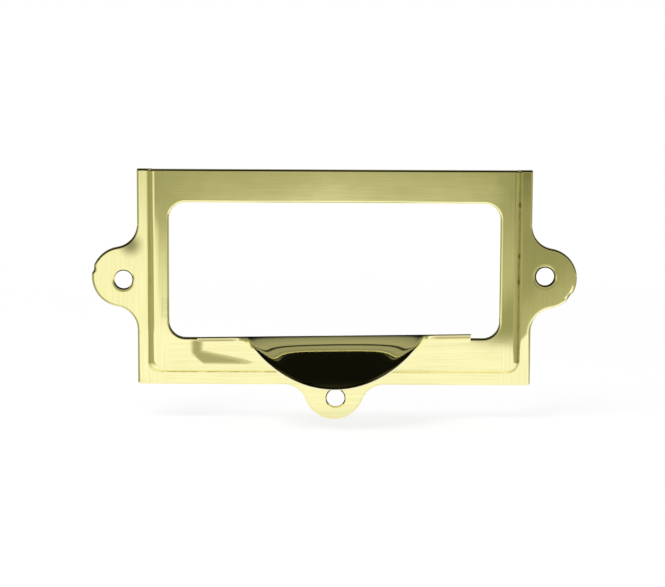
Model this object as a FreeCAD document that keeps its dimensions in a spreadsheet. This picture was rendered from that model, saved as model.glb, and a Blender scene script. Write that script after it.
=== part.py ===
import FreeCAD, Part
import Sketcher
import math
import os
from FreeCAD import Base

# Label frame pull: one pressed sheet of brass.
# X runs to the right, Z runs up and the front faces -Y. The back of the flange lies on y = 0,
# and the origin is midway between the two side screw holes. All sizes are in millimetres.

SIZES = [
    # the sheet and the flat body
    ("sheet_thickness", 0.65),
    ("body_width", 70.0),
    ("body_height", 38.5),
    ("body_corner_radius", 0.25),
    # the step that lifts the panel off the drawer front, open at the top for the card
    ("side_flange", 2.0),
    ("bottom_flange", 2.25),
    ("card_depth", 1.0),
    ("step_lean", 30.0),
    ("step_corner_radius", 2.0),
    ("bend_radius", 0.45),
    # the rails that leave the window open over the card
    ("side_rail", 5.7),
    ("top_rail", 5.9),
    ("bottom_rail", 8.6),
    ("window_corner_radius", 2.9),
    # the three ears and their screw holes, measured out from the body's edges
    ("ear_radius", 5.4),
    ("ear_blend_radius", 4.2),
    ("side_ear_reach", 8.1),
    ("side_hole_offset", 2.4),
    ("bottom_ear_reach", 6.25),
    ("bottom_hole_offset", 1.95),
    ("hole_diameter", 3.2),
    ("hole_bevel", 0.2),
    # the fold along the window's lower edge, and the finger pull that springs from it
    ("fold_setback", 5.2),
    ("fold_rise", 0.5),
    ("fold_radius", 0.6),
    ("fold_relief", 0.15),
    ("ledge_depth", 0.6),
    ("ledge_length", 6.3),
    ("pull_radius", 12.0),
    ("pull_length", 14.15),
    ("pull_hollow_radius", 2.4),
    # the softened edges: the front's, buffed well over, and the tongue's free rim
    ("front_round", 0.42),
    ("rim_round", 0.12),
]

# Widths and heights of the main lines, with heights measured up from the origin.
BODY_TOP = "Sizes.body_height / 2"
BODY_BOTTOM = "-Sizes.body_height / 2"
STEP_WIDTH = "Sizes.body_width - 2 * Sizes.side_flange"
STEP_BOTTOM = "-Sizes.body_height / 2 + Sizes.bottom_flange"
WINDOW_WIDTH = "Sizes.body_width - 2 * Sizes.side_rail"
WINDOW_TOP = "Sizes.body_height / 2 - Sizes.top_rail"
WINDOW_BOTTOM = "-Sizes.body_height / 2 + Sizes.bottom_rail"
FOLD_WIDTH = "Sizes.body_width - 2 * Sizes.side_rail - 2 * Sizes.fold_setback"
# The fold's crest stands a little above the window's lower edge, and the bend starts this high.
FOLD_CREST = WINDOW_BOTTOM + " + Sizes.fold_rise"
FOLD_START = FOLD_CREST + " - Sizes.fold_radius - Sizes.sheet_thickness"
# The bend's centre, measured back from the front, so it is negative.
FOLD_DEPTH = "-(Sizes.card_depth + Sizes.sheet_thickness + Sizes.fold_radius)"
# A sheet of even thickness puts the back of the step this far inside its front.
BACK_INSET = "Sizes.sheet_thickness * tan(45 - Sizes.step_lean / 2)"
# A rounded edge leaves some of the sheet's thickness flat, and runs on through the step's hollow bends.
FRONT_RADIUS = "min(Sizes.front_round; 0.65 * Sizes.sheet_thickness; 0.95 * Sizes.bend_radius)"
RIM_RADIUS = "min(Sizes.rim_round; 0.4 * Sizes.sheet_thickness)"
# How far a cut runs past the body, so that no two faces only just touch.
OVERRUN = "6.0"
THROUGH = "Sizes.card_depth + Sizes.sheet_thickness + " + OVERRUN
# Tolerance for telling which plane an edge lies in.
NEAR = 1e-4
# A face counts as part of the front when its direction leans at least this far forward.
FACING = 0.3


def make_sheet(doc):
    """Write every size in its own named cell."""
    sheet = doc.addObject("Spreadsheet::Sheet", "Sizes")
    for row, (name, value) in enumerate(SIZES, start=1):
        sheet.set("A%d" % row, name)
        sheet.set("B%d" % row, str(value))
        sheet.setAlias("B%d" % row, name)
    doc.recompute()
    return sheet


def new_sketch(body, name, role, forward=None):
    """Start a sketch on one of the body's own origin planes, moved forward if asked."""
    sketch = body.newObject("Sketcher::SketchObject", name)
    plane = [item for item in body.Origin.OriginFeatures if item.Role == role][0]
    sketch.AttachmentSupport = [(plane, "")]
    sketch.MapMode = "FlatFace"
    if forward:
        sketch.setExpression("AttachmentOffset.Base.z", forward)
    return sketch


def bind(sketch, name, constraint, formula):
    """Add a dimension under its own name and tie it to the sheet."""
    index = sketch.addConstraint(constraint)
    sketch.renameConstraint(index, name)
    sketch.setExpression("Constraints." + name, formula)


def draw_box(sketch, sheet, width, bottom, top, radius):
    """Draw a rectangle centred on the vertical axis, with rounded corners."""
    half = sheet.evalExpression(width) / 2
    low = sheet.evalExpression(bottom)
    high = sheet.evalExpression(top)
    turn = sheet.evalExpression(radius)
    point = FreeCAD.Vector
    corners = [
        (-half + turn, low + turn, math.pi),
        (half - turn, low + turn, 1.5 * math.pi),
        (half - turn, high - turn, 0.0),
        (-half + turn, high - turn, 0.5 * math.pi),
    ]
    sides = [
        (point(-half + turn, low, 0), point(half - turn, low, 0)),
        (point(half, low + turn, 0), point(half, high - turn, 0)),
        (point(half - turn, high, 0), point(-half + turn, high, 0)),
        (point(-half, high - turn, 0), point(-half, low + turn, 0)),
    ]
    arcs = []
    for x, z, start in corners:
        circle = Part.Circle(point(x, z, 0), point(0, 0, 1), turn)
        arcs.append(sketch.addGeometry(Part.ArcOfCircle(circle, start, start + math.pi / 2), False))
    lines = [sketch.addGeometry(Part.LineSegment(start, end), False) for start, end in sides]
    for index in range(4):
        following = arcs[(index + 1) % 4]
        sketch.addConstraint(Sketcher.Constraint("Tangent", arcs[index], 2, lines[index], 1))
        sketch.addConstraint(Sketcher.Constraint("Tangent", lines[index], 2, following, 1))
    for index, direction in enumerate(["Horizontal", "Vertical", "Horizontal", "Vertical"]):
        sketch.addConstraint(Sketcher.Constraint(direction, lines[index]))
    for other in arcs[1:]:
        sketch.addConstraint(Sketcher.Constraint("Equal", arcs[0], other))
    half_width = "(" + width + ") / 2"
    bind(sketch, "corner", Sketcher.Constraint("Radius", arcs[0], turn), radius)
    bind(sketch, "right", Sketcher.Constraint("DistanceX", -1, 1, lines[1], 1, half), half_width)
    bind(sketch, "left", Sketcher.Constraint("DistanceX", lines[3], 1, -1, 1, half), half_width)
    bind(sketch, "bottom", Sketcher.Constraint("DistanceY", -1, 1, lines[0], 1, low), bottom)
    bind(sketch, "top", Sketcher.Constraint("DistanceY", -1, 1, lines[2], 1, high), top)


def draw_circle(sketch, sheet, name, x, z, diameter):
    """Draw one circle placed from the origin, its sizes tied to the sheet."""
    centre = FreeCAD.Vector(sheet.evalExpression(x), sheet.evalExpression(z), 0)
    across = sheet.evalExpression(diameter)
    circle = Part.Circle(centre, FreeCAD.Vector(0, 0, 1), across / 2)
    index = sketch.addGeometry(circle, False)
    bind(sketch, name + "_across", Sketcher.Constraint("Diameter", index, across), diameter)
    bind(sketch, name + "_x", Sketcher.Constraint("DistanceX", -1, 1, index, 3, centre.x), x)
    bind(sketch, name + "_z", Sketcher.Constraint("DistanceY", -1, 1, index, 3, centre.y), z)


def draw_three(sketch, sheet, side_x, bottom_z, diameter):
    """Draw the same circle at the left, the right and the bottom of the body."""
    draw_circle(sketch, sheet, "left", "-(" + side_x + ")", "0", diameter)
    draw_circle(sketch, sheet, "right", side_x, "0", diameter)
    draw_circle(sketch, sheet, "bottom", "0", bottom_z, diameter)


def add_pad(body, name, sketch, length, lean=None, both_ways=False):
    """Raise a sketch forward, or to both sides, leaning its walls inwards if asked."""
    pad = body.newObject("PartDesign::Pad", name)
    pad.Profile = sketch
    pad.setExpression("Length", length)
    if lean:
        pad.setExpression("TaperAngle", lean)
    if both_ways:
        pad.SideType = "Symmetric"
    body.Document.recompute()
    return pad


def add_pocket(body, name, sketch, depth, lean=None):
    """Cut a sketch forward into the body, leaning the cut's walls inwards if asked."""
    before = body.Shape.Volume
    pocket = body.newObject("PartDesign::Pocket", name)
    pocket.Profile = sketch
    pocket.Reversed = True
    pocket.setExpression("Length", depth)
    if lean:
        pocket.setExpression("TaperAngle", lean)
    body.Document.recompute()
    if pocket.Shape.Volume >= before:
        raise ValueError(name + " cut nothing away")
    return pocket


def add_fillet(body, name, edges, radius):
    """Round the chosen edges of the body as it stands."""
    base = body.Tip
    fillet = body.newObject("PartDesign::Fillet", name)
    fillet.Base = (base, edges)
    fillet.setExpression("Radius", radius)
    body.Document.recompute()


def add_chamfer(body, name, edges, size):
    """Bevel the chosen edges of the body as it stands."""
    base = body.Tip
    chamfer = body.newObject("PartDesign::Chamfer", name)
    chamfer.Base = (base, edges)
    chamfer.setExpression("Size", size)
    body.Document.recompute()


def pick_edges(body, wanted):
    """Name the edges of the body as it stands that pass a test, given each one's middle point."""
    names = []
    for index, edge in enumerate(body.Tip.Shape.Edges, start=1):
        middle = edge.valueAt((edge.FirstParameter + edge.LastParameter) / 2)
        if wanted(edge, middle):
            names.append("Edge%d" % index)
    return names


def lies_at(edge, y):
    """Tell whether an edge lies wholly in the plane at this depth."""
    return abs(edge.BoundBox.YMin - y) < NEAR and abs(edge.BoundBox.YMax - y) < NEAR


def add_flange(body, sheet):
    """The flat flange: the body's outline with its three ears."""
    outline = new_sketch(body, "body_outline", "XZ_Plane")
    draw_box(outline, sheet, "Sizes.body_width", BODY_BOTTOM, BODY_TOP, "Sizes.body_corner_radius")
    add_pad(body, "body_plate", outline, "Sizes.sheet_thickness")
    circles = new_sketch(body, "ear_outline", "XZ_Plane")
    side_x = "Sizes.body_width / 2 + Sizes.side_ear_reach - Sizes.ear_radius"
    bottom_z = BODY_BOTTOM + " - Sizes.bottom_ear_reach + Sizes.ear_radius"
    draw_three(circles, sheet, side_x, bottom_z, "2 * Sizes.ear_radius")
    add_pad(body, "ears", circles, "Sizes.sheet_thickness")
    half_width = sheet.body_width / 2
    half_height = sheet.body_height / 2

    def in_ear_corner(edge, middle):
        through_sheet = abs(edge.tangentAt(edge.FirstParameter).y) > 1 - NEAR
        on_side = abs(abs(middle.x) - half_width) < NEAR and abs(middle.z) < sheet.ear_radius
        on_bottom = abs(middle.z + half_height) < NEAR and abs(middle.x) < sheet.ear_radius
        return through_sheet and (on_side or on_bottom)

    add_fillet(body, "ear_blends", pick_edges(body, in_ear_corner), "Sizes.ear_blend_radius")


def add_panel(body, sheet):
    """The raised panel, hollow behind for the card and open at the top."""
    over_top = BODY_TOP + " + " + OVERRUN
    front = new_sketch(body, "step_front", "XZ_Plane", "Sizes.sheet_thickness")
    draw_box(front, sheet, STEP_WIDTH, STEP_BOTTOM, over_top, "Sizes.step_corner_radius")
    add_pad(body, "raised_panel", front, "Sizes.card_depth", "-Sizes.step_lean")
    back = new_sketch(body, "step_back", "XZ_Plane")
    draw_box(
        back,
        sheet,
        STEP_WIDTH + " - 2 * " + BACK_INSET,
        STEP_BOTTOM + " + " + BACK_INSET,
        over_top + " - " + BACK_INSET,
        "Sizes.step_corner_radius - " + BACK_INSET,
    )
    add_pocket(body, "card_space", back, "Sizes.card_depth", "-Sizes.step_lean")
    waste = new_sketch(body, "top_waste", "XZ_Plane")
    draw_box(waste, sheet, "Sizes.body_width", BODY_TOP, over_top + " + " + OVERRUN, "1.0")
    add_pocket(body, "top_trim", waste, THROUGH)


def add_bends(body, sheet):
    """Round the step's four bends, so that the sheet keeps its thickness round each of them."""
    half_width = sheet.body_width / 2
    half_height = sheet.body_height / 2
    flange_front = -sheet.sheet_thickness
    panel_back = -sheet.card_depth
    panel_front = -sheet.card_depth - sheet.sheet_thickness

    def on_step(middle):
        inside_sides = abs(middle.x) < half_width - sheet.side_flange / 2
        above_bottom = middle.z > -half_height + sheet.bottom_flange / 2
        return inside_sides and above_bottom and middle.z < half_height - NEAR

    def inner(edge, middle):
        return on_step(middle) and (lies_at(edge, flange_front) or lies_at(edge, panel_back))

    def outer(edge, middle):
        return on_step(middle) and (lies_at(edge, 0.0) or lies_at(edge, panel_front))

    add_fillet(body, "inner_bends", pick_edges(body, inner), "Sizes.bend_radius")
    outer_radius = "Sizes.bend_radius + Sizes.sheet_thickness"
    add_fillet(body, "outer_bends", pick_edges(body, outer), outer_radius)


def add_window(body, sheet):
    """The window over the card."""
    opening = new_sketch(body, "window_outline", "XZ_Plane")
    draw_box(opening, sheet, WINDOW_WIDTH, WINDOW_BOTTOM, WINDOW_TOP, "Sizes.window_corner_radius")
    add_pocket(body, "window", opening, THROUGH)


def add_front_rounding(body):
    """Soften the front edges that the press and the buffing wheel have rolled over."""
    shape = body.Tip.Shape

    def on_front_rim(edge, middle):
        faces = shape.ancestorsOfType(edge, Part.Face)
        normals = [face.normalAt(*face.Surface.parameter(middle)) for face in faces]
        facing = [normal for normal in normals if normal.y < -FACING]
        walls = [normal for normal in normals if abs(normal.y) < NEAR]
        return len(facing) == 1 and len(walls) == 1

    add_fillet(body, "front_rounding", pick_edges(body, on_front_rim), FRONT_RADIUS)


def add_holes(body, sheet):
    """The three plain screw holes through the ears, with a fine bevel at the front."""
    circles = new_sketch(body, "hole_outline", "XZ_Plane")
    side_x = "Sizes.body_width / 2 + Sizes.side_hole_offset"
    bottom_z = BODY_BOTTOM + " - Sizes.bottom_hole_offset"
    draw_three(circles, sheet, side_x, bottom_z, "Sizes.hole_diameter")
    add_pocket(body, "screw_holes", circles, THROUGH)

    def on_hole_rim(edge, middle):
        return edge.isClosed() and lies_at(edge, -sheet.sheet_thickness)

    add_chamfer(body, "hole_rims", pick_edges(body, on_hole_rim), "Sizes.hole_bevel")


def add_notch(body, sheet):
    """The shallow notch in the window's lower edge, where the pull is folded out."""
    notch = new_sketch(body, "notch_outline", "XZ_Plane")
    width = FOLD_WIDTH + " + 2 * Sizes.fold_relief"
    top = WINDOW_BOTTOM + " + Sizes.window_corner_radius"
    draw_box(notch, sheet, width, FOLD_START, top, "Sizes.fold_relief / 2")
    add_pocket(body, "fold_notch", notch, THROUGH)


def add_fold(body, sheet):
    """The quarter bend that turns the sheet forward at the foot of the window."""
    profile = new_sketch(body, "fold_profile", "YZ_Plane")
    outside = "Sizes.fold_radius + Sizes.sheet_thickness"
    y = sheet.evalExpression(FOLD_DEPTH)
    z = sheet.evalExpression(FOLD_START)
    radii = [sheet.fold_radius, sheet.evalExpression(outside)]
    point = FreeCAD.Vector
    arcs = []
    for radius in radii:
        circle = Part.Circle(point(y, z, 0), point(0, 0, 1), radius)
        arcs.append(profile.addGeometry(Part.ArcOfCircle(circle, 0, math.pi / 2), False))
    ends = [
        Part.LineSegment(point(y + radii[0], z, 0), point(y + radii[1], z, 0)),
        Part.LineSegment(point(y, z + radii[0], 0), point(y, z + radii[1], 0)),
    ]
    lines = [profile.addGeometry(end, False) for end in ends]
    profile.addConstraint(Sketcher.Constraint("Coincident", arcs[0], 3, arcs[1], 3))
    for corner, line in enumerate(lines, start=1):
        profile.addConstraint(Sketcher.Constraint("Coincident", line, 1, arcs[0], corner))
        profile.addConstraint(Sketcher.Constraint("Coincident", line, 2, arcs[1], corner))
        profile.addConstraint(Sketcher.Constraint("PointOnObject", arcs[0], 3, line))
    profile.addConstraint(Sketcher.Constraint("Horizontal", lines[0]))
    profile.addConstraint(Sketcher.Constraint("Vertical", lines[1]))
    bind(profile, "inside", Sketcher.Constraint("Radius", arcs[0], radii[0]), "Sizes.fold_radius")
    bind(profile, "outside", Sketcher.Constraint("Radius", arcs[1], radii[1]), outside)
    bind(profile, "depth", Sketcher.Constraint("DistanceX", -1, 1, arcs[0], 3, y), FOLD_DEPTH)
    bind(profile, "height", Sketcher.Constraint("DistanceY", -1, 1, arcs[0], 3, z), FOLD_START)
    add_pad(body, "fold", profile, FOLD_WIDTH, both_ways=True)


def flat_outline(sheet, middle_radius):
    """The tongue's flat outline, as curves over the angle round the pull and the width.

    It is a half-moon that springs from a narrow ledge along the whole fold, with a small
    hollow radius where it leaves the ledge at each side.
    """
    half = sheet.evalExpression(FOLD_WIDTH) / 2
    ledge = sheet.ledge_depth
    hollow = sheet.pull_hollow_radius
    hollow_along = ledge + hollow
    hollow_across = half - sheet.ledge_length
    # the half-moon's circle reaches the lip and touches both hollows
    drop = hollow_along - sheet.pull_length
    moon = (hollow_across**2 + drop**2 - hollow**2) / (2 * (hollow - drop))
    moon_along = sheet.pull_length - moon
    spread = math.atan2(hollow_across, hollow_along - moon_along)

    def line(start, end):
        first = Base.Vector2d(start[0] / middle_radius, start[1])
        last = Base.Vector2d(end[0] / middle_radius, end[1])
        return Part.Geom2d.Line2dSegment(first, last)

    def arc(along, across, radius, start, end):
        centre = Base.Vector2d(along / middle_radius, across)
        widest = Base.Vector2d(along / middle_radius, across + radius)
        farthest = Base.Vector2d((along + radius) / middle_radius, across)
        ring = Part.Geom2d.Ellipse2d(widest, farthest, centre)
        return Part.Geom2d.ArcOfEllipse2d(ring, math.pi / 2 - end, math.pi / 2 - start, True)

    return [
        line((0, -half), (0, half)),
        line((0, half), (ledge, half)),
        line((ledge, half), (ledge, hollow_across)),
        arc(hollow_along, hollow_across, hollow, math.pi, math.pi + spread),
        arc(moon_along, 0, moon, -spread, spread),
        arc(hollow_along, -hollow_across, hollow, math.pi - spread, math.pi),
        line((ledge, -hollow_across), (ledge, -half)),
        line((ledge, -half), (0, -half)),
    ]


def rim_wall(outside, inside):
    """The cut edge of the sheet between two matching curves of its outer and inner face."""
    first = Part.makeLine(outside.valueAt(outside.FirstParameter), inside.valueAt(inside.FirstParameter))
    last = Part.makeLine(outside.valueAt(outside.LastParameter), inside.valueAt(inside.LastParameter))
    border = Part.Wire(Part.__sortEdges__([outside, inside, first, last]))
    if border.findPlane():
        return Part.Face(border)
    return Part.makeRuledSurface(outside, inside)


def make_tongue(doc, sheet):
    """The half-moon tongue: its flat outline wrapped round the pull's curve, cut square."""
    outer_radius = sheet.pull_radius
    inner_radius = outer_radius - sheet.sheet_thickness
    outline = flat_outline(sheet, (outer_radius + inner_radius) / 2)
    rims = []
    faces = []
    for radius in (outer_radius, inner_radius):
        skin = Part.Cylinder()
        skin.Radius = radius
        rim = [curve.toShape(skin) for curve in outline]
        face = Part.Face(skin, Part.Wire(Part.__sortEdges__(rim)))
        face.validate()
        rims.append(rim)
        faces.append(face)
    for outside, inside in zip(rims[0], rims[1]):
        faces.append(rim_wall(outside, inside))
    shell = Part.makeShell(faces)
    shell.sewShape()
    tongue = doc.addObject("Part::Feature", "tongue")
    tongue.Shape = Part.makeSolid(shell)
    # the wrapped shape starts at the crest, which points up, and turns towards the front
    crest = FreeCAD.Vector(0, 0, 1)
    forward = FreeCAD.Vector(0, -1, 0)
    along_fold = FreeCAD.Vector(1, 0, 0)
    axis_z = sheet.evalExpression(FOLD_CREST) - outer_radius
    place = FreeCAD.Vector(0, sheet.evalExpression(FOLD_DEPTH), axis_z)
    tongue.Placement = FreeCAD.Placement(place, FreeCAD.Rotation(crest, forward, along_fold))
    doc.recompute()
    return tongue


def join_tongue(body, tongue):
    """Make the tongue one with the fold."""
    join = body.newObject("PartDesign::Boolean", "pull")
    join.Type = "Fuse"
    join.Group = [tongue]
    body.Document.recompute()


def add_tongue_rounding(body, sheet):
    """Soften both edges of the tongue's free rim."""
    shape = body.Tip.Shape
    skins = [sheet.pull_radius, sheet.pull_radius - sheet.sheet_thickness]
    fold_front = sheet.evalExpression(FOLD_DEPTH)
    fold_end = sheet.evalExpression(FOLD_WIDTH) / 2

    def on_skin(face):
        is_round = isinstance(face.Surface, Part.Cylinder)
        return is_round and min(abs(face.Surface.Radius - skin) for skin in skins) < NEAR

    def on_free_rim(edge, middle):
        faces = [face for face in shape.ancestorsOfType(edge, Part.Face) if on_skin(face)]
        return len(faces) == 1 and middle.y < fold_front - NEAR and abs(middle.x) < fold_end - NEAR

    add_fillet(body, "tongue_rounding", pick_edges(body, on_free_rim), RIM_RADIUS)


def check(doc, body):
    """Stop if any step failed or the part isn't one sound solid."""
    for item in doc.Objects:
        if "Invalid" in item.State or "Error" in item.State:
            raise RuntimeError(item.Name + " failed")
    if body.Shape.isNull() or not body.Shape.isValid() or len(body.Shape.Solids) != 1:
        raise RuntimeError("the part is not one sound solid")


def main():
    doc = FreeCAD.newDocument("label_frame_pull")
    sheet = make_sheet(doc)
    body = doc.addObject("PartDesign::Body", "label_frame_pull")
    body.Label = "label_frame_pull"
    add_flange(body, sheet)
    add_panel(body, sheet)
    add_bends(body, sheet)
    add_window(body, sheet)
    add_front_rounding(body)
    add_holes(body, sheet)
    add_notch(body, sheet)
    add_fold(body, sheet)
    join_tongue(body, make_tongue(doc, sheet))
    add_tongue_rounding(body, sheet)
    check(doc, body)
    os.makedirs("parts", exist_ok=True)
    body.Shape.exportStep("parts/" + body.Label + ".step")
    print("%s: %.2f cubic mm" % (body.Label, body.Shape.Volume))


main()
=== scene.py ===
"""Looks of the label frame pull: polished brass on a pale floor, in soft studio light."""

import math

import bpy
from mathutils import Matrix, Vector


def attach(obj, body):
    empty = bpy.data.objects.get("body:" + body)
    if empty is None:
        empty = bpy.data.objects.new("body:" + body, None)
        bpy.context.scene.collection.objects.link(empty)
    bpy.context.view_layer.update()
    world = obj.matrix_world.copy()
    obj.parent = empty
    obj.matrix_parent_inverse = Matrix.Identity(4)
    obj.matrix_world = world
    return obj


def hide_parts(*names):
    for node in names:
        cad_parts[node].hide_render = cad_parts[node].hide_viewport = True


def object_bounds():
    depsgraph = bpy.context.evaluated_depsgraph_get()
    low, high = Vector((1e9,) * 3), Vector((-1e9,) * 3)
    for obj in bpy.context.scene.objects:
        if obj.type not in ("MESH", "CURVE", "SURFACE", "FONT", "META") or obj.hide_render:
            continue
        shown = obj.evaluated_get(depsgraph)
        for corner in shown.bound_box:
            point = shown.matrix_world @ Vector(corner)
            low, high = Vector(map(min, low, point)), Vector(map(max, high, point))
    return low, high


# Lengths are in millimetres, as in the part's source, and turned into metres where Blender needs them.
# A pair called a fade is a soft border: the first value is where a mask is 0, the second where it is 1.
MM = 0.001
WHITE = (1.0, 1.0, 1.0, 1.0)

# Places on the part, as drawn
WINDOW_HALF_WIDTH = 29.3
SIDE_CREASE = 33.0
BOTTOM_CREASE = -17.0
CREASE_CORNER = 2.0
FLANGE_START = 33.3
EAR_CENTRE = 37.7
EAR_RADIUS = 5.4
EAR_BLEND_CENTRE = (39.2, -9.48)
EAR_BLEND_RADIUS = 4.2
EAR_BLEND_SLOPE = 0.158
HOLES = ((-37.4, 0.0), (37.4, 0.0), (0.0, -21.2))
HOLE_RADIUS = 1.6
PANEL_FRONT = -1.65
FOLD_AXIS = (-2.25, -11.4)
FOLD_HALF_WIDTH = 24.12
LEDGE_FRONT = -2.85
TONGUE_START = -2.3
PULL_AXIS = (-2.25, -22.15)
PULL_MIDDLE_RADIUS = 11.675
MOON_RADIUS = 16.07
MOON_CENTRE = -1.92

# How this piece differs from the drawing: the punched holes wander, the fold is a little out of level,
# the ledges' ends are spread, the tongue sits to the right and the ears' edges have been knocked
HOLE_DRIFT = ((-0.08, -0.5), (0.03, 0.35), (0.3, -0.45))
HOLE_REACH = 2.6
PUNCHED_HOLES = [(x + right, z + up) for (x, z), (right, up) in zip(HOLES, HOLE_DRIFT)]
FOLD_SLOPE = 0.0165
FOLD_HEIGHTS = (0.001, 2.0)
LEDGE_SPREAD = 0.13
LEDGE_SPREAD_FROM = 23.0
TONGUE_DRIFT = 0.25
TONGUE_DRIFT_BY = -5.0
NICKS = ((42.06, -3.23), (-42.84, 1.30))
NICK_REACH = 0.7
NICK_DEPTH = 0.26


class Graph:
    """Builds a node tree from short calls. A socket is fed by another socket or by a plain value."""

    def __init__(self, owner):
        owner.use_nodes = True
        self.tree = owner.node_tree
        self.tree.nodes.clear()

    def feed(self, socket, value):
        if isinstance(value, bpy.types.NodeSocket):
            self.tree.links.new(value, socket)
        else:
            socket.default_value = value

    def add(self, kind, inputs=None, **settings):
        node = self.tree.nodes.new("ShaderNode" + kind)
        for name, value in settings.items():
            setattr(node, name, value)
        for name, value in (inputs or {}).items():
            self.feed(node.inputs[name], value)
        return node

    def math(self, operation, *values):
        node = self.add("Math", operation=operation)
        for socket, value in zip(node.inputs, values):
            self.feed(socket, value)
        return node.outputs[0]

    def plus(self, first, *others):
        for other in others:
            first = self.math("ADD", first, other)
        return first

    def times(self, first, *others):
        for other in others:
            first = self.math("MULTIPLY", first, other)
        return first

    def minus(self, first, second):
        return self.math("SUBTRACT", first, second)

    def largest(self, first, second):
        return self.math("MAXIMUM", first, second)

    def smallest(self, first, second):
        return self.math("MINIMUM", first, second)

    def above(self, value, limit):
        return self.math("GREATER_THAN", value, limit)

    def below(self, value, limit):
        return self.math("LESS_THAN", value, limit)

    def size(self, value):
        return self.math("ABSOLUTE", value)

    def hypot(self, first, second):
        return self.math("SQRT", self.plus(self.times(first, first), self.times(second, second)))

    def fading(self, distance, reach):
        """1 at no distance, falling off over about the reach."""
        return self.math("EXPONENT", self.times(distance, -1.0 / reach))

    def rise(self, value, low, high):
        """0 at low, 1 at high, smooth in between; low may be the larger one."""
        node = self.add("MapRange", interpolation_type="SMOOTHSTEP")
        for name, given in (("Value", value), ("From Min", low), ("From Max", high)):
            self.feed(node.inputs[name], given)
        return node.outputs["Result"]

    def band(self, value, middle, half_width):
        """1 at the middle, falling smoothly to 0 at half_width away from it."""
        return self.rise(self.size(self.minus(value, middle)), half_width, 0.0)

    def scaled(self, vector, factors):
        node = self.add("VectorMath", operation="MULTIPLY")
        self.feed(node.inputs[0], vector)
        self.feed(node.inputs[1], factors)
        return node.outputs[0]

    def in_mm(self, vector):
        return self.scaled(vector, (1.0 / MM,) * 3)

    def axes(self, vector):
        node = self.add("SeparateXYZ", {"Vector": vector})
        return node.outputs["X"], node.outputs["Y"], node.outputs["Z"]

    def noise(self, vector, scale, detail, roughness):
        inputs = {"Vector": vector, "Scale": scale, "Detail": detail, "Roughness": roughness}
        return self.add("TexNoise", inputs).outputs["Fac"]

    def blend(self, factor, first, second):
        """Mixes two colours, whose sockets come after the node's sockets for numbers and vectors."""
        node = self.add("Mix", data_type="RGBA", clamp_factor=True)
        self.feed(node.inputs[0], factor)
        self.feed(node.inputs[6], first)
        self.feed(node.inputs[7], second)
        return node.outputs[2]

    def ramp(self, value, stops):
        """Colours along 0 to 1; the first stop is at 0 and the last at 1."""
        node = self.add("ValToRGB", {"Fac": value})
        elements = node.color_ramp.elements
        elements[0].color = stops[0][1]
        elements[1].color = stops[-1][1]
        for place, level in stops[1:-1]:
            elements.new(place).color = level
        return node.outputs["Color"]

    def mix_shaders(self, share, first, second):
        node = self.add("MixShader")
        for socket, value in zip(node.inputs, (share, first.outputs[0], second.outputs[0])):
            self.feed(socket, value)
        return node

    def surface(self, shader):
        self.add("OutputMaterial", {"Surface": shader.outputs[0]})


# Camera, fitted to the outline in the photograph
CAMERA_TARGET = (-0.33, 0.0, -2.88)
CAMERA_DISTANCE = 360.0
CAMERA_AZIMUTH = -0.08
CAMERA_ELEVATION = 7.0
CAMERA_ROLL = 0.27
CAMERA_LENS = 109.48
SENSOR_WIDTH = 36.0
CLIP_START_M = 0.01
CLIP_END_M = 50.0


def make_camera():
    azimuth = math.radians(CAMERA_AZIMUTH)
    elevation = math.radians(CAMERA_ELEVATION)
    level = math.cos(elevation)
    back = Vector((math.sin(azimuth) * level, -math.cos(azimuth) * level, math.sin(elevation)))
    right = Vector((math.cos(azimuth), math.sin(azimuth), 0.0))
    right = Matrix.Rotation(math.radians(CAMERA_ROLL), 3, back) @ right
    up = back.cross(right)
    data = bpy.data.cameras.new("camera")
    data.sensor_width = SENSOR_WIDTH
    data.sensor_fit = "HORIZONTAL"
    data.lens = CAMERA_LENS
    data.clip_start = CLIP_START_M
    data.clip_end = CLIP_END_M
    camera = bpy.data.objects.new("camera", data)
    place = (Vector(CAMERA_TARGET) + CAMERA_DISTANCE * back) * MM
    camera.matrix_world = Matrix.Translation(place) @ Matrix((right, up, back)).transposed().to_4x4()
    bpy.context.scene.collection.objects.link(camera)
    bpy.context.scene.camera = camera


# White floor and world
FLOOR_SIZE = 6000.0
FLOOR_WHITE = (0.86, 0.86, 0.86, 1.0)
FLOOR_GLOW = 0.82
FLOOR_GLOW_FADE = (90.0, 260.0)
WORLD_GREY = (0.6, 0.6, 0.6, 1.0)


def stage_piece(name, corners, faces, material):
    mesh = bpy.data.meshes.new(name)
    mesh.from_pydata([Vector(corner) * MM for corner in corners], [], faces)
    mesh.materials.append(material)
    piece = bpy.data.objects.new(name, mesh)
    bpy.context.scene.collection.objects.link(piece)
    return piece


def stage_square(name, half, level, material):
    corners = [(-half, -half, level), (half, -half, level), (half, half, level), (-half, half, level)]
    return stage_piece(name, corners, [(0, 1, 2, 3)], material)


def background_share(g):
    """1 for the rays that show the background: the camera's, and those that metal and glass send out."""
    path = g.add("LightPath").outputs
    reflected = g.largest(path["Is Glossy Ray"], path["Is Transmission Ray"])
    return g.largest(path["Is Camera Ray"], reflected)


def floor_material():
    """White floor that keeps the part's soft shadow."""
    material = bpy.data.materials.new("pale_floor")
    g = Graph(material)
    x, y, _ = g.axes(g.in_mm(g.add("NewGeometry").outputs["Position"]))
    far_off = g.rise(g.hypot(x, y), *FLOOR_GLOW_FADE)
    glow = g.plus(FLOOR_GLOW, g.times(far_off, 1.0 - FLOOR_GLOW))
    shaded = g.add("BsdfDiffuse", {"Color": FLOOR_WHITE, "Roughness": 0.0})
    white = g.add("Emission", {"Color": WHITE, "Strength": 1.0})
    g.surface(g.mix_shaders(g.times(background_share(g), glow), shaded, white))
    return material


def make_floor(level):
    stage_square("floor", FLOOR_SIZE / 2, level, floor_material())


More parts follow.
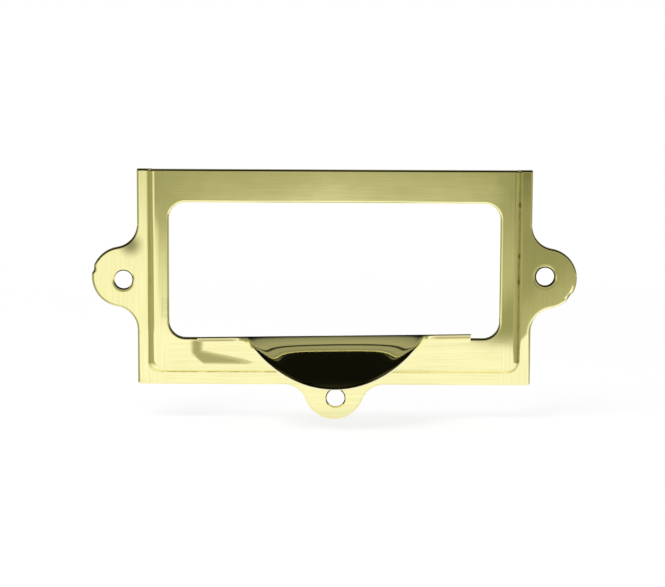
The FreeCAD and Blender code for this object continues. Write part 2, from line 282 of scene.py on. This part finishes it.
def make_world():
    """The white background, and a plain grey light on the floor."""
    world = bpy.data.worlds.new("studio")
    bpy.context.scene.world = world
    g = Graph(world)
    seen = g.blend(background_share(g), WORLD_GREY, WHITE)
    background = g.add("Background", {"Color": seen, "Strength": 1.0})
    g.add("OutputWorld", {"Surface": background.outputs[0]})


# Canopy: half a drum over the part, glowing by its own emission and seen only in reflections, a painted
# reflection of a dark room
CANOPY_RADIUS = 1500.0
CANOPY_HALF_LENGTH = 4000.0
CANOPY_STEPS = 48
CANOPY_TINT = (1.0, 0.98, 0.72)
# angle over the part in degrees, from the floor in front to the floor behind, and the level of the
# canopy's glow there
CANOPY_LEVELS = (
    (0, 0.40),
    (10, 0.40),
    (25, 0.09),
    (32, 0.018),
    (38, 0.010),
    (46, 0.005),
    (103, 0.006),
    (104.5, 0.35),
    (108, 0.33),
    (110, 0.22),
    (112, 0.33),
    (120, 0.34),
    (121.5, 0.02),
    (124.5, 0.02),
    (126, 0.37),
    (132, 0.37),
    (142, 0.32),
    (153, 0.25),
    (165, 0.02),
    (170, 0.01),
    (180, 0.01),
)


def keep_to_reflections(card):
    """A studio card that only the metal shows: it is out of the picture and takes no light away."""
    card.visible_camera = False
    card.visible_diffuse = False
    card.visible_shadow = False


def canopy_colour(level):
    red, green, blue = CANOPY_TINT
    return red * level, green * level, blue * level, 1.0


def canopy_material():
    """Near-black glowing drum with a few dim warm strips, painted reflections which the tongue shows as
    bands.
    """
    material = bpy.data.materials.new("black_canopy")
    g = Graph(material)
    _, y, z = g.axes(g.add("NewGeometry").outputs["Position"])
    over = g.times(g.math("ARCTAN2", z, g.times(y, -1.0)), 1.0 / math.pi)
    canopy_glow = g.ramp(over, [(angle / 180.0, canopy_colour(level)) for angle, level in CANOPY_LEVELS])
    g.surface(g.add("Emission", {"Color": canopy_glow, "Strength": 1.0}))
    return material


def make_canopy(level):
    """Half a drum with closed ends, from the floor in front to the floor behind."""
    reach = math.degrees(math.asin(-level / CANOPY_RADIUS))
    corners = []
    for number in range(CANOPY_STEPS + 1):
        turn = math.radians(-reach + number * (180.0 + 2.0 * reach) / CANOPY_STEPS)
        for x in (-CANOPY_HALF_LENGTH, CANOPY_HALF_LENGTH):
            corners.append((x, -CANOPY_RADIUS * math.cos(turn), CANOPY_RADIUS * math.sin(turn)))
    faces = [(2 * n, 2 * n + 1, 2 * n + 3, 2 * n + 2) for n in range(CANOPY_STEPS)]
    for end in (0, 1):
        faces.append(tuple(range(end, len(corners), 2)))
    keep_to_reflections(stage_piece("canopy", corners, faces, canopy_material()))


# Grey card on the floor, glowing by its own emission and seen only in reflections, a painted reflection
# with a soft opening round the part; angles are bearings, in degrees
CARD_LIFT = 0.05
CARD_DISTANCE_FADE = (200.0, 750.0)
CARD_BLUE_AT_BLACK = 0.46
CARD_BLUE_GAIN = 0.50
OPENING_CENTRE = (-29.0, -25.0)
OPENING_RADIUS = 98.0
OPENING_BACK = 40.0
OPENING_SOFTNESS = 9.0
OPENING_LEFT = -53.0
OPENING_LEFT_SOFTNESS = 7.0
OPENING_BESIDE_FADE = (OPENING_BACK + 25.0, OPENING_BACK)
# bearing from straight ahead to the right, the card's level near the part, its level far off
CARD_LEVELS = (
    (-180, 0.80, 0.04),
    (-155, 0.80, 0.10),
    (-135, 0.40, 0.35),
    (-44, 0.40, 0.35),
    (-36, 1.00, 0.84),
    (-18, 1.00, 0.80),
    (-11, 0.72, 0.43),
    (-8.5, 0.46, 0.30),
    (-7, 0.65, 0.37),
    (0, 1.00, 0.44),
    (7, 0.74, 0.38),
    (8, 0.48, 0.25),
    (13.5, 0.50, 0.20),
    (16, 0.33, 0.16),
    (20, 0.33, 0.16),
    (23, 0.46, 0.19),
    (32, 0.46, 0.37),
    (44, 0.38, 0.35),
    (135, 0.38, 0.35),
    (155, 0.80, 0.10),
    (180, 0.80, 0.04),
)


def warm(level):
    """A grey of this level; the dimmer it is, the warmer."""
    return level, level, level * (CARD_BLUE_AT_BLACK + CARD_BLUE_GAIN * level), 1.0


def card_opening(g, x, y, from_part, bearing):
    """1 where the card is open: in front of the part and, to the far left, only close beside it."""
    from_centre = g.hypot(g.plus(x, -OPENING_CENTRE[0]), g.plus(y, -OPENING_CENTRE[1]))
    disc = g.rise(from_centre, OPENING_RADIUS + OPENING_SOFTNESS, OPENING_RADIUS - OPENING_SOFTNESS)
    front = g.rise(y, OPENING_BACK + OPENING_SOFTNESS, OPENING_BACK - OPENING_SOFTNESS)
    left_start = math.radians(OPENING_LEFT - OPENING_LEFT_SOFTNESS)
    left_end = math.radians(OPENING_LEFT + OPENING_LEFT_SOFTNESS)
    ahead = g.rise(bearing, left_start, left_end)
    beside = g.rise(from_part, *OPENING_BESIDE_FADE)
    return g.times(disc, front, g.largest(ahead, beside))


def floor_card_material():
    """Grey card glowing at a level that goes by bearing and distance, a painted reflection for the brass;
    the white floor shows through its opening.
    """
    material = bpy.data.materials.new("grey_card")
    g = Graph(material)
    x, y, _ = g.axes(g.in_mm(g.add("NewGeometry").outputs["Position"]))
    from_part = g.hypot(x, y)
    bearing = g.math("ARCTAN2", x, g.times(y, -1.0))
    turn = g.plus(g.times(bearing, 0.5 / math.pi), 0.5)
    near_by = g.ramp(turn, [(0.5 + angle / 360.0, warm(level)) for angle, level, _ in CARD_LEVELS])
    far_off = g.ramp(turn, [(0.5 + angle / 360.0, warm(level)) for angle, _, level in CARD_LEVELS])
    grey = g.blend(g.rise(from_part, *CARD_DISTANCE_FADE), near_by, far_off)
    card = g.add("Emission", {"Color": grey, "Strength": 1.0})
    opening = card_opening(g, x, y, from_part, bearing)
    g.surface(g.mix_shaders(opening, card, g.add("BsdfTransparent")))
    return material


def make_floor_card(level):
    card = stage_square("floor_card", CANOPY_RADIUS, level + CARD_LIFT, floor_card_material())
    keep_to_reflections(card)


# Lamp
KEY_PLACE = (-300.0, -350.0, 700.0)
KEY_SIZE = 500.0
KEY_POWER = 6.0


def make_lamp():
    """One soft lamp for the floor's shadow, which the metal doesn't show."""
    data = bpy.data.lights.new("soft_key", "AREA")
    data.shape = "DISK"
    data.size = KEY_SIZE * MM
    data.energy = KEY_POWER
    lamp = bpy.data.objects.new("soft_key", data)
    lamp.location = Vector(KEY_PLACE) * MM
    lamp.rotation_mode = "QUATERNION"
    lamp.rotation_quaternion = (-Vector(KEY_PLACE)).to_track_quat("-Z", "Y")
    lamp.visible_glossy = False
    bpy.context.scene.collection.objects.link(lamp)


def step_distance(g, x, z):
    """How far a point lies outside the foot of the step, a box with rounded lower corners and no top."""
    across = g.plus(g.size(x), CREASE_CORNER - SIDE_CREASE)
    below = g.plus(g.times(z, -1.0), CREASE_CORNER + BOTTOM_CREASE)
    corner = g.hypot(g.largest(across, 0.0), g.largest(below, 0.0))
    inside = g.smallest(g.largest(across, below), 0.0)
    return g.plus(corner, inside, -CREASE_CORNER)


def rim_distance(g, x, y, z):
    """How far a point of the tongue lies inside its half-moon outline, along the sheet."""
    level_z = g.plus(z, g.times(x, -FOLD_SLOPE))
    ahead = g.plus(g.times(y, -1.0), PULL_AXIS[0])
    above = g.plus(level_z, -PULL_AXIS[1])
    along = g.times(g.math("ARCTAN2", ahead, above), PULL_MIDDLE_RADIUS)
    from_centre = g.hypot(g.plus(x, -TONGUE_DRIFT), g.plus(along, -MOON_CENTRE))
    return g.largest(g.minus(MOON_RADIUS, from_centre), 0.0)


def away(g, x, z, place):
    """How far a point of the front lies from the given place."""
    return g.hypot(g.plus(x, -place[0]), g.plus(z, -place[1]))


# Dent in the bottom rail: a facet between a level floor and a sloping top, with an arm up to the fold
DENT_LEAN = 0.086
DENT_FLOOR = -15.35
DENT_FLOOR_FADE = (-0.6, 0.6)
DENT_CORNER = -23.2
DENT_CORNER_SLOPE = 0.75
DENT_TOP = -18.02
DENT_TOP_SLOPE = -0.21
DENT_TOP_FADE = (0.8, -0.8)
DENT_LEFT_FADE = (-26.2, -23.8)
DENT_RIGHT_FADE = (-10.5, -16.5)
DENT_ARM = -24.4
DENT_ARM_HALF_WIDTH = 1.6
DENT_ARM_FOOT_FADE = (-14.6, -13.2)
DENT_ARM_TOP_FADE = (-10.8, -11.6)


def dent_mask(g, x, z):
    """The facet knocked into the bottom rail below the fold's left end."""
    past_corner = g.largest(g.minus(DENT_CORNER, x), 0.0)
    over_floor = g.plus(z, -DENT_FLOOR, g.times(past_corner, -DENT_CORNER_SLOPE))
    over_top = g.minus(z, g.plus(g.times(x, DENT_TOP_SLOPE), DENT_TOP))
    heights = g.times(g.rise(over_floor, *DENT_FLOOR_FADE), g.rise(over_top, *DENT_TOP_FADE))
    ends = g.times(g.rise(x, *DENT_LEFT_FADE), g.rise(x, *DENT_RIGHT_FADE))
    arm_heights = g.times(g.rise(z, *DENT_ARM_FOOT_FADE), g.rise(z, *DENT_ARM_TOP_FADE))
    arm = g.times(g.band(x, DENT_ARM, DENT_ARM_HALF_WIDTH), arm_heights)
    return g.largest(g.times(heights, ends), arm)


# Wear on the right flange: its foot below a sloping line, and a margin along the ear's lower outline
WEAR_LEAN = 0.045
WEAR_FROM = FLANGE_START - 0.3
WEAR_LINE = -65.8
WEAR_LINE_SLOPE = 1.65
WEAR_LINE_FADE = (0.6, -1.8)
WEAR_FOOT_FADE = (-5.5, -7.0)
WEAR_MARGIN_FADE = (1.2, 0.25)
WEAR_EAR_FADE = (-1.0, -4.0)


def wear_mask(g, x, z):
    """Where polishing has leant the right flange down."""
    over_line = g.minus(z, g.plus(g.times(x, WEAR_LINE_SLOPE), WEAR_LINE))
    foot = g.times(g.rise(over_line, *WEAR_LINE_FADE), g.rise(z, *WEAR_FOOT_FADE))
    from_blend = g.plus(away(g, x, z, EAR_BLEND_CENTRE), -EAR_BLEND_RADIUS)
    from_ear = g.minus(EAR_RADIUS, away(g, x, z, (EAR_CENTRE, 0.0)))
    on_ear = g.above(g.plus(x, g.times(z, EAR_BLEND_SLOPE)), EAR_CENTRE)
    from_edge = g.plus(from_blend, g.times(on_ear, g.minus(from_ear, from_blend)))
    margin = g.times(g.rise(from_edge, *WEAR_MARGIN_FADE), g.rise(z, *WEAR_EAR_FADE))
    return g.times(g.largest(foot, margin), g.above(x, WEAR_FROM))


# Rub on the right ear's edge
RUB_LEAN = 0.12
RUB_MARGIN_FADE = (1.0, 0.6)
RUB_TOP_FADE = (-0.6, -1.4)
RUB_BOTTOM_FADE = (-3.8, -3.2)


def rub_mask(g, x, z):
    """A bright rub along the right ear's edge, just above its nick."""
    from_edge = g.minus(EAR_RADIUS, away(g, x, z, (EAR_CENTRE, 0.0)))
    heights = g.times(g.rise(z, *RUB_TOP_FADE), g.rise(z, *RUB_BOTTOM_FADE))
    return g.times(g.rise(from_edge, *RUB_MARGIN_FADE), heights, g.above(x, EAR_CENTRE))


# Shallow forms of the front, as heights in millimetres
HOLE_RINGS = (0.75, 0.75, 0.35)
HOLE_RING_BEND = 0.16
LEFT_FLANGE_TURN = 0.087
LEFT_FLANGE_BEND = 0.004
RIGHT_FLANGE_TURN = 0.044
SHOULDER_START = -30.9
SHOULDER_END = -32.9
SHOULDER_FADE = (12.0, 6.0)
SHOULDER_BEND = 0.03


def hole_rings(g, x, z):
    """The front drawn in a little round each punched hole."""
    total = 0.0
    for hole, reach in zip(PUNCHED_HOLES, HOLE_RINGS):
        sunk = g.largest(g.minus(HOLE_RADIUS + reach, away(g, x, z, hole)), 0.0)
        total = g.plus(total, g.times(sunk, sunk, -HOLE_RING_BEND))
    return total


def flange_turns(g, x):
    """The side flanges are not quite flat: each turns outward, the left one more."""
    left = g.smallest(g.plus(x, FLANGE_START), 0.0)
    right = g.largest(g.plus(x, -FLANGE_START), 0.0)
    left_turn = g.plus(g.times(left, LEFT_FLANGE_TURN), g.times(left, left, -LEFT_FLANGE_BEND))
    return g.plus(left_turn, g.times(right, -RIGHT_FLANGE_TURN))


def shoulder_roll(g, x, z):
    """The panel's left shoulder, worn round by polishing."""
    past = g.smallest(g.plus(x, -SHOULDER_START), 0.0)
    on_panel = g.times(g.above(x, SHOULDER_END), g.rise(z, *SHOULDER_FADE))
    return g.times(past, past, on_panel, -SHOULDER_BEND)


# Shallow forms of the tongue, as heights in millimetres
TONGUE_LEAN = 0.035
FLANK_FADE = (4.0, 10.0)
LIFT_REACH = 1.6
LIFT_HEIGHT = 1.2
ROLL_REACH = 0.5
ROLL_HEIGHT = 0.74
ROLL_END_FADE = (15.0, 12.5)
EDGE_REACH = 0.25
EDGE_HEIGHT = 0.35


def tongue_curl(g, inside_rim, side):
    """The tongue leans forward a little, lifts towards its flanks and rolls over at their very edge."""
    lifted = g.times(g.fading(inside_rim, LIFT_REACH), LIFT_HEIGHT)
    rolled = g.times(g.fading(inside_rim, ROLL_REACH), g.rise(side, *ROLL_END_FADE), ROLL_HEIGHT)
    edge = g.times(g.fading(inside_rim, EDGE_REACH), EDGE_HEIGHT)
    flanks = g.times(g.minus(lifted, g.plus(rolled, edge)), g.rise(side, *FLANK_FADE))
    return g.plus(flanks, g.times(inside_rim, TONGUE_LEAN))


# Brown polish left in the creases, painted shade below the fold along the ledges, and a darker ring at
# each hole's edge
RESIDUE_AND_SHADE_BROWN = (0.22, 0.13, 0.04, 1.0)
RESIDUE_NOISE = (0.55, 3.0, 0.6)
RESIDUE_PATCH_FADE = (0.35, 0.65)
SIDE_RESIDUE_PLACE = -0.30
SIDE_RESIDUE_HALF_WIDTH = 0.45
SIDE_RESIDUE_FADE = (30.5, 32.0)
SIDE_RESIDUE_LEAST = 0.30
SIDE_RESIDUE_PATCHES = 0.3
SIDE_SPOTS = (13.1, 4.0, -0.6)
SIDE_SPOT_HALF_HEIGHT = 1.2
BOTTOM_RESIDUE_PLACE = -0.10
BOTTOM_RESIDUE_HALF_WIDTH = 0.24
BOTTOM_RESIDUE_FADE = (-15.0, -16.5)
BOTTOM_RESIDUE_LEAST = 0.3
BOTTOM_RESIDUE_PATCHES = 0.7
BOTTOM_SHARE = 0.22
BOTTOM_SHARE_FADE = (31.0, 29.0)
BOTTOM_LEFT_SHARE = 0.5
BOTTOM_LEFT_FADE = (5.0, -5.0)
# the band below the fold is painted shade under the two ledges
FOLD_SHADE_LEVEL = -10.68
FOLD_SHADE_HALF_HEIGHT = 0.5
FOLD_SHADE_SHARE = 0.62
FOLD_SHADE_INNER_FADE = (16.5, 18.5)
FOLD_SHADE_OUTER_FADE = (24.4, 23.9)
HOLE_EDGE_DARKENING = (0.1, 1.0, 0.15)
HOLE_EDGE_DARKENING_FADE = (0.34, 0.18)


def crease_residue(g, x, z, place):
    """Polish at the foot of the step: thick and spotted on the right, thin along the bottom."""
    step = step_distance(g, x, z)
    patchy = g.rise(g.noise(place, *RESIDUE_NOISE), *RESIDUE_PATCH_FADE)
    thick = g.plus(SIDE_RESIDUE_LEAST, g.times(patchy, SIDE_RESIDUE_PATCHES))
    for height in SIDE_SPOTS:
        thick = g.largest(thick, g.band(z, height, SIDE_SPOT_HALF_HEIGHT))
    side_line = g.band(step, SIDE_RESIDUE_PLACE, SIDE_RESIDUE_HALF_WIDTH)
    in_side = g.times(side_line, g.rise(x, *SIDE_RESIDUE_FADE), thick)
    thin = g.plus(BOTTOM_RESIDUE_LEAST, g.times(patchy, BOTTOM_RESIDUE_PATCHES))
    all_along = g.times(g.rise(x, *BOTTOM_SHARE_FADE), BOTTOM_SHARE)
    more_left = g.times(g.rise(x, *BOTTOM_LEFT_FADE), BOTTOM_LEFT_SHARE)
    bottom_line = g.band(step, BOTTOM_RESIDUE_PLACE, BOTTOM_RESIDUE_HALF_WIDTH)
    in_bottom = g.times(bottom_line, g.rise(z, *BOTTOM_RESIDUE_FADE), thin, g.plus(all_along, more_left))
    return g.plus(in_side, in_bottom)


def fold_painted_shade(g, x, z):
    """Painted shade below the fold, along the two ledges, in the brown of the crease polish."""
    side = g.size(x)
    by_ledge = g.times(g.rise(side, *FOLD_SHADE_INNER_FADE), g.rise(side, *FOLD_SHADE_OUTER_FADE))
    level_z = g.plus(z, g.times(x, -FOLD_SLOPE))
    line = g.band(level_z, FOLD_SHADE_LEVEL, FOLD_SHADE_HALF_HEIGHT)
    return g.times(line, by_ledge, FOLD_SHADE_SHARE)


def hole_edge_darkening(g, x, z):
    """A darker ring at each hole's edge, strong on the right one only."""
    total = 0.0
    for hole, share in zip(PUNCHED_HOLES, HOLE_EDGE_DARKENING):
        from_hole = g.plus(away(g, x, z, hole), -HOLE_RADIUS)
        total = g.plus(total, g.times(g.rise(from_hole, *HOLE_EDGE_DARKENING_FADE), share))
    return total


# Dull places: painted shade in the hollow above the left ear, a smudge by the window, the nicks and the
# unpolished walls
TARNISH_AND_SHADE = (0.20, 0.185, 0.07, 1.0)
TARNISH_AND_SHADE_SHARE = 0.85
HOLLOW_SHADE_PLACE = (-36.2, 5.75)
HOLLOW_SHADE_FADE = (2.9, 0.2)
NICK_FADE = (0.9, 0.35)
SMUDGE_SHARE = 0.3
SMUDGE_PLACE = -30.0
SMUDGE_HALF_WIDTH = 1.2
SMUDGE_BOTTOM_FADE = (-7.4, -7.0)
SMUDGE_TOP_FADE = (-3.3, -3.9)
WALL_SHARE = 0.8
WALL_FACING = 0.5
HOLE_WALL_FADE = (0.2, 0.1)
CORNER_WALL_END = 29.6
CORNER_WALL_HEIGHTS = (-12.5, -7.0)


def tarnish_and_shade_mask(g, x, z, streaks):
    """The dull places of the front, with painted shade in the hollow above the left ear."""
    # the dark patch in the hollow above the left ear is painted shade
    mask = g.rise(away(g, x, z, HOLLOW_SHADE_PLACE), *HOLLOW_SHADE_FADE)
    for nick in NICKS:
        mask = g.largest(mask, g.rise(away(g, x, z, nick), *NICK_FADE))
    heights = g.times(g.rise(z, *SMUDGE_BOTTOM_FADE), g.rise(z, *SMUDGE_TOP_FADE))
    smudge = g.times(g.band(x, SMUDGE_PLACE, SMUDGE_HALF_WIDTH), heights, streaks, SMUDGE_SHARE)
    return g.largest(g.times(mask, TARNISH_AND_SHADE_SHARE), smudge)


def wall_mask(g, x, z, facing):
    """The walls of the punched holes and of the window's lower corners, which polishing doesn't reach."""
    side = g.size(x)
    beside_fold = g.times(g.above(side, FOLD_HALF_WIDTH), g.below(side, CORNER_WALL_END))
    low, high = CORNER_WALL_HEIGHTS
    mask = g.times(beside_fold, g.above(z, low), g.below(z, high), g.below(facing, WALL_FACING))
    for hole in PUNCHED_HOLES:
        from_hole = g.plus(away(g, x, z, hole), -HOLE_RADIUS)
        mask = g.largest(mask, g.rise(from_hole, *HOLE_WALL_FADE))
    return g.times(mask, g.above(facing, -WALL_FACING), WALL_SHARE)


# Brass
BRASS_BRIGHT = (1.00, 0.97, 0.53, 1.0)
BRASS_DEEP = (0.91, 0.845, 0.425, 1.0)
BRUSHED_ALONG = (0.12, 1.0, 5.0)
BRUSHED_UPWARD = (5.0, 1.0, 0.12)
BRUSH_NOISE = (1.0, 3.0, 0.6)
BRUSH_TURN_FADE = (WINDOW_HALF_WIDTH - 1.0, WINDOW_HALF_WIDTH + 1.5)
BRUSH_HEIGHT = 0.0006
STREAK_FADE = (0.3, 0.7)
STREAK_TONE = 0.6
CLOUD_NOISE = (0.10, 2.0, 0.5)
CLOUD_TONE = 0.4
CLOUD_HEIGHT = 0.03
POLISH = 0.04
BRUSHED_POLISH = 0.05
DENT_POLISH = 0.06
FRONT_FACING = -0.9
SEEN_FACING = -0.2
RIM_START = LEDGE_FRONT - 0.1
# the dark margin along the tongue's rim is painted shade
PAINTED_RIM_SHADE = (0.07, 0.055, 0.02, 1.0)
RIM_SHADE_FADE = (0.45, 0.28)
RIM_SHADE_END_FADE = (14.5, 12.5)
CUT_EDGE = (0.97, 0.93, 0.58, 1.0)
CUT_DEPTH = 0.02


def brushing_marks(g, place, side):
    """Fine scratches: level on the top and bottom rails, upright at the sides."""
    along = g.noise(g.scaled(place, BRUSHED_ALONG), *BRUSH_NOISE)
    upward = g.noise(g.scaled(place, BRUSHED_UPWARD), *BRUSH_NOISE)
    at_side = g.rise(side, *BRUSH_TURN_FADE)
    return g.plus(g.times(along, g.minus(1.0, at_side)), g.times(upward, at_side))


def front_colour(g, place, facing, brushing, cloud):
    """Streaked and cloudy brass with brown polish, dull places, a darker ring at each hole's edge, and
    painted shade below the fold and in the hollow above the left ear.
    """
    x, _, z = g.axes(place)
    streaks = g.rise(brushing, *STREAK_FADE)
    seen_side = g.below(facing, SEEN_FACING)
    tone = g.plus(g.times(cloud, CLOUD_TONE), g.times(streaks, STREAK_TONE))
    metal = g.blend(tone, BRASS_BRIGHT, BRASS_DEEP)
    # the brown carries the crease polish, the holes' darker rings and the painted shade below the fold
    residue_and_shade = g.plus(crease_residue(g, x, z, place), fold_painted_shade(g, x, z), hole_edge_darkening(g, x, z))
    brown = g.blend(g.times(residue_and_shade, seen_side), metal, RESIDUE_AND_SHADE_BROWN)
    dull = g.blend(g.times(tarnish_and_shade_mask(g, x, z, streaks), seen_side), brown, TARNISH_AND_SHADE)
    return g.blend(wall_mask(g, x, z, facing), dull, TARNISH_AND_SHADE)


def rim_colour(g, colour, y, side, inside_rim):
    """The tongue's rim: a dark margin of painted shade along its rolled edge, and the bare cut edge."""
    past_ledges = g.below(y, RIM_START)
    margin = g.times(g.rise(inside_rim, *RIM_SHADE_FADE), past_ledges, g.rise(side, *RIM_SHADE_END_FADE))
    cut = g.times(g.below(inside_rim, CUT_DEPTH), past_ledges)
    return g.blend(cut, g.blend(margin, colour, PAINTED_RIM_SHADE), CUT_EDGE)


def leaning_normal(g, height, lean):
    """The normal of a surface with these heights, tipped up by the lean."""
    bump = g.add("Bump", {"Strength": 1.0, "Distance": MM, "Height": height})
    normal = g.add("VectorMath", operation="ADD")
    g.feed(normal.inputs[0], bump.outputs[0])
    g.feed(normal.inputs[1], g.add("CombineXYZ", {"Z": lean}).outputs[0])
    return normal.outputs[0]


def brass():
    """Polished brass, with the shallow forms that show only through what they reflect."""
    material = bpy.data.materials.new("polished_brass")
    g = Graph(material)
    place = g.in_mm(g.add("TexCoord").outputs["Object"])
    x, y, z = g.axes(place)
    side = g.size(x)
    _, facing, _ = g.axes(g.add("NewGeometry").outputs["True Normal"])
    on_tongue = g.below(y, TONGUE_START)
    on_front = g.times(g.below(facing, FRONT_FACING), g.minus(1.0, on_tongue))
    inside_rim = rim_distance(g, x, y, z)
    brushing = brushing_marks(g, place, side)
    cloud = g.noise(place, *CLOUD_NOISE)
    dent = g.times(dent_mask(g, x, z), on_front)

    colour = rim_colour(g, front_colour(g, place, facing, brushing, cloud), y, side, inside_rim)
    polish = g.plus(POLISH, g.times(brushing, BRUSHED_POLISH), g.times(dent, DENT_POLISH))

    grain = g.plus(g.times(brushing, BRUSH_HEIGHT), g.times(cloud, CLOUD_HEIGHT))
    shaped = g.plus(hole_rings(g, x, z), flange_turns(g, x), shoulder_roll(g, x, z))
    curl = tongue_curl(g, inside_rim, side)
    height = g.plus(grain, g.times(on_front, shaped), g.times(curl, on_tongue))
    worn = g.plus(g.times(wear_mask(g, x, z), -WEAR_LEAN), g.times(rub_mask(g, x, z), -RUB_LEAN))
    lean = g.plus(g.times(dent, DENT_LEAN), g.times(worn, on_front))

    g.surface(g.add("BsdfPrincipled", {
        "Base Color": colour,
        "Metallic": 1.0,
        "Roughness": polish,
        "Normal": leaning_normal(g, height, lean),
    }))
    return material


def settle(point):
    """Moves a point of the drawn part, in millimetres, to where it is on this piece."""
    x, y, z = point
    for (hole_x, hole_z), (drift_x, drift_z) in zip(HOLES, HOLE_DRIFT):
        if math.hypot(x - hole_x, z - hole_z) < HOLE_REACH and y > PANEL_FRONT:
            x += drift_x
            z += drift_z
    if y < LEDGE_FRONT:
        x += TONGUE_DRIFT * min((y - LEDGE_FRONT) / (TONGUE_DRIFT_BY - LEDGE_FRONT), 1.0)
    behind_axis = y - FOLD_AXIS[0]
    above_axis = z - FOLD_AXIS[1]
    on_fold = abs(x) < FOLD_HALF_WIDTH and FOLD_HEIGHTS[0] < above_axis < FOLD_HEIGHTS[1]
    near_end = abs(x) - LEDGE_SPREAD_FROM
    if on_fold and near_end > 0.0:
        x += math.copysign(LEDGE_SPREAD * near_end / (FOLD_HALF_WIDTH - LEDGE_SPREAD_FROM), x)
    if behind_axis <= 0.0:
        z += FOLD_SLOPE * x
    elif on_fold:
        z += FOLD_SLOPE * x * math.atan2(above_axis, behind_axis) / (math.pi / 2)
    for nick_x, nick_z in NICKS:
        apart = math.hypot(x - nick_x, z - nick_z)
        if apart < NICK_REACH:
            inward = Vector((math.copysign(EAR_CENTRE, nick_x) - nick_x, -nick_z)).normalized()
            push = NICK_DEPTH * (1.0 - (apart / NICK_REACH) ** 2)
            x += push * inward.x
            z += push * inward.y
    return x, y, z


def make_plate(node):
    """The brass plate: the drawn part with its small knocks, in polished brass."""
    mesh = node.data.copy()
    mesh.name = "brass_plate"
    for vertex in mesh.vertices:
        vertex.co = Vector(settle(vertex.co / MM)) * MM
    mesh.materials.clear()
    mesh.materials.append(brass())
    plate = bpy.data.objects.new("brass_plate", mesh)
    bpy.context.scene.collection.objects.link(plate)
    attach(plate, "root")
    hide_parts(node.name)


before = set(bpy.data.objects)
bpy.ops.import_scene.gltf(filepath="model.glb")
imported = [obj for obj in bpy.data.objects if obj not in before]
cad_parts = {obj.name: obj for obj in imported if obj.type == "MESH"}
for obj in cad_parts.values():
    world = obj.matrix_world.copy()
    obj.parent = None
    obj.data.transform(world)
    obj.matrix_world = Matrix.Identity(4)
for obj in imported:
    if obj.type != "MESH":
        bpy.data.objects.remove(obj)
cad_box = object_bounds()
bpy.context.scene.view_settings.view_transform = "Standard"
make_camera()
make_world()
floor_level = cad_box[0].z / MM
make_floor(floor_level)
make_floor_card(floor_level)
make_canopy(floor_level)
make_lamp()
make_plate(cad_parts["label_frame_pull"])
